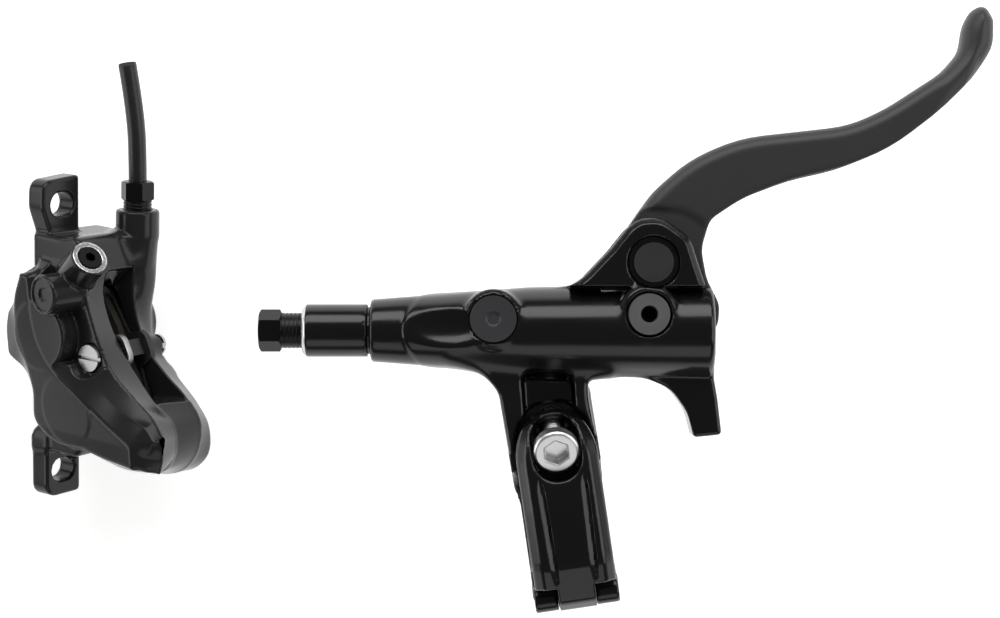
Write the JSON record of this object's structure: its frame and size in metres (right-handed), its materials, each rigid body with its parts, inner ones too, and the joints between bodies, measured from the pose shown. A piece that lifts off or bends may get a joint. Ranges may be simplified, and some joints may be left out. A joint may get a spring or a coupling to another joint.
{
  "type": "hydraulic disc brake",
  "caption": "Bicycle hydraulic disc brake: handlebar lever with reservoir and hinged clamp, and a post-mount opposed-piston caliper with a cut hose end.",
  "frame": {"origin": "centre of the 22.2 mm handlebar clamp", "axes": "+X along the handlebar towards its grip end on the lever blade's side, +Y from the handlebar towards the master cylinder, +Z out of the face that carries the bleed screw and clamp bolt"},
  "size_m": [0.2514, 0.149, 0.155],
  "materials": {
    "gloss_black_paint": "gloss black paint on cast aluminium",
    "satin_dark_grey": "satin dark grey anodised aluminium",
    "stainless_steel": "turned stainless steel",
    "zinc_plated_steel": "stamped steel, bright zinc",
    "black_oxide_steel": "black oxide, lightly oiled",
    "black_anodised": "black anodised, turned",
    "clear_anodised": "clear hard anodised",
    "brass": "turned brass",
    "acetal": "moulded black acetal",
    "seal_rubber": "black moulded rubber",
    "phenolic": "ground phenolic resin",
    "friction_compound": "pressed friction compound with metal flecks",
    "hose_nylon": "black nylon jacket"
  },
  "bodies": {
    "brake_body": {"lever_housing": "gloss_black_paint", "caliper_body": "gloss_black_paint", "clamp_bolt": "stainless_steel", "reservoir_lid_screws": "stainless_steel", "clamp_hinge_pin": "stainless_steel", "pad_axle": "stainless_steel", "axle_snap_ring": "stainless_steel", "piston_retaining_ring": "stainless_steel", "return_spring": "stainless_steel", "pad_spring": "stainless_steel", "lever_hose_nut": "black_oxide_steel", "caliper_hose_nut": "black_oxide_steel", "lever_pivot_pin": "black_oxide_steel", "bleed_nipple": "black_oxide_steel", "bleed_screw": "black_anodised", "cross_port_plug": "black_anodised", "reservoir_lid": "black_anodised", "hose_olive": "brass", "hose_insert": "brass", "fill_port_plug": "acetal", "reservoir_diaphragm": "seal_rubber", "bleed_screw_ring": "seal_rubber", "piston_seal_outer_upper": "seal_rubber", "piston_seal_outer_lower": "seal_rubber", "piston_seal_inner_upper": "seal_rubber", "piston_seal_inner_lower": "seal_rubber", "brake_hose": "hose_nylon"},
    "lever": {"lever_blade": "satin_dark_grey", "reach_adjust_screw": "stainless_steel", "pivot_bush_top": "acetal", "pivot_bush_bottom": "acetal", "push_rod_pin": "stainless_steel"},
    "rod": {"push_rod": "stainless_steel"},
    "master_piston_set": {"master_piston": "clear_anodised", "primary_seal": "seal_rubber", "secondary_seal": "seal_rubber"},
    "cover": {"clamp_cover": "gloss_black_paint"},
    "caliper_piston_1": {"piston_outer_upper": "phenolic"},
    "caliper_piston_2": {"piston_outer_lower": "phenolic"},
    "caliper_piston_3": {"piston_inner_upper": "phenolic"},
    "caliper_piston_4": {"piston_inner_lower": "phenolic"},
    "pad_outer": {"pad_backplate_outer": "zinc_plated_steel", "pad_lining_outer": "friction_compound"},
    "pad_inner": {"pad_backplate_inner": "zinc_plated_steel", "pad_lining_inner": "friction_compound"}
  },
  "joints": [
    {"name": "lever_pull", "type": "hinge", "parent": "brake_body", "child": "lever", "pos_m": [0.02661, 0.05217, 0.002], "axis": [0, 0, -1], "range_deg": [0, 22], "stiffness_Nm_per_rad": 0.8, "springref_deg": -14.32},
    {"name": "push_rod_turn", "type": "hinge", "parent": "lever", "child": "rod", "pos_m": [0.02764, 0.03726, 0.002], "axis": [0, 0, 1], "range_deg": [0, 23]},
    {"name": "master_piston_slide", "type": "slide", "parent": "brake_body", "child": "master_piston_set", "axis": [-0.9893, 0.1461, 0], "range_m": [0, 0.0058], "deforming": ["return_spring"]},
    {"name": "cover_open", "type": "hinge", "parent": "brake_body", "child": "cover", "pos_m": [0, -0.0172, 0], "axis": [1, 0, 0], "range_deg": [0, 2.5]},
    {"name": "caliper_piston_1_slide", "type": "slide", "parent": "brake_body", "child": "caliper_piston_1", "axis": [0.5736, 0.0438, -0.818], "range_m": [0, 0.0005]},
    {"name": "caliper_piston_2_slide", "type": "slide", "parent": "brake_body", "child": "caliper_piston_2", "axis": [0.5736, 0.0438, -0.818], "range_m": [0, 0.0005]},
    {"name": "caliper_piston_3_slide", "type": "slide", "parent": "brake_body", "child": "caliper_piston_3", "axis": [-0.5736, -0.0438, 0.818], "range_m": [0, 0.0005]},
    {"name": "caliper_piston_4_slide", "type": "slide", "parent": "brake_body", "child": "caliper_piston_4", "axis": [-0.5736, -0.0438, 0.818], "range_m": [0, 0.0005]},
    {"name": "pad_outer_slide", "type": "slide", "parent": "brake_body", "child": "pad_outer", "axis": [0.5736, 0.0438, -0.818], "range_m": [0, 0.0005]},
    {"name": "pad_inner_slide", "type": "slide", "parent": "brake_body", "child": "pad_inner", "axis": [-0.5736, -0.0438, 0.818], "range_m": [0, 0.0005]}
  ],
  "couplings": [
    {"joint": "push_rod_turn", "follows": "lever_pull", "ratio": 1},
    {"joint": "master_piston_slide", "follows": "lever_pull", "m_per_rad": 0.01485},
    {"joint": "caliper_piston_1_slide", "follows": "lever_pull", "m_per_rad": 0.0010417},
    {"joint": "caliper_piston_2_slide", "follows": "lever_pull", "m_per_rad": 0.0010417},
    {"joint": "caliper_piston_3_slide", "follows": "lever_pull", "m_per_rad": 0.0010417},
    {"joint": "caliper_piston_4_slide", "follows": "lever_pull", "m_per_rad": 0.0010417},
    {"joint": "pad_outer_slide", "follows": "lever_pull", "m_per_rad": 0.0010417},
    {"joint": "pad_inner_slide", "follows": "lever_pull", "m_per_rad": 0.0010417}
  ]
}
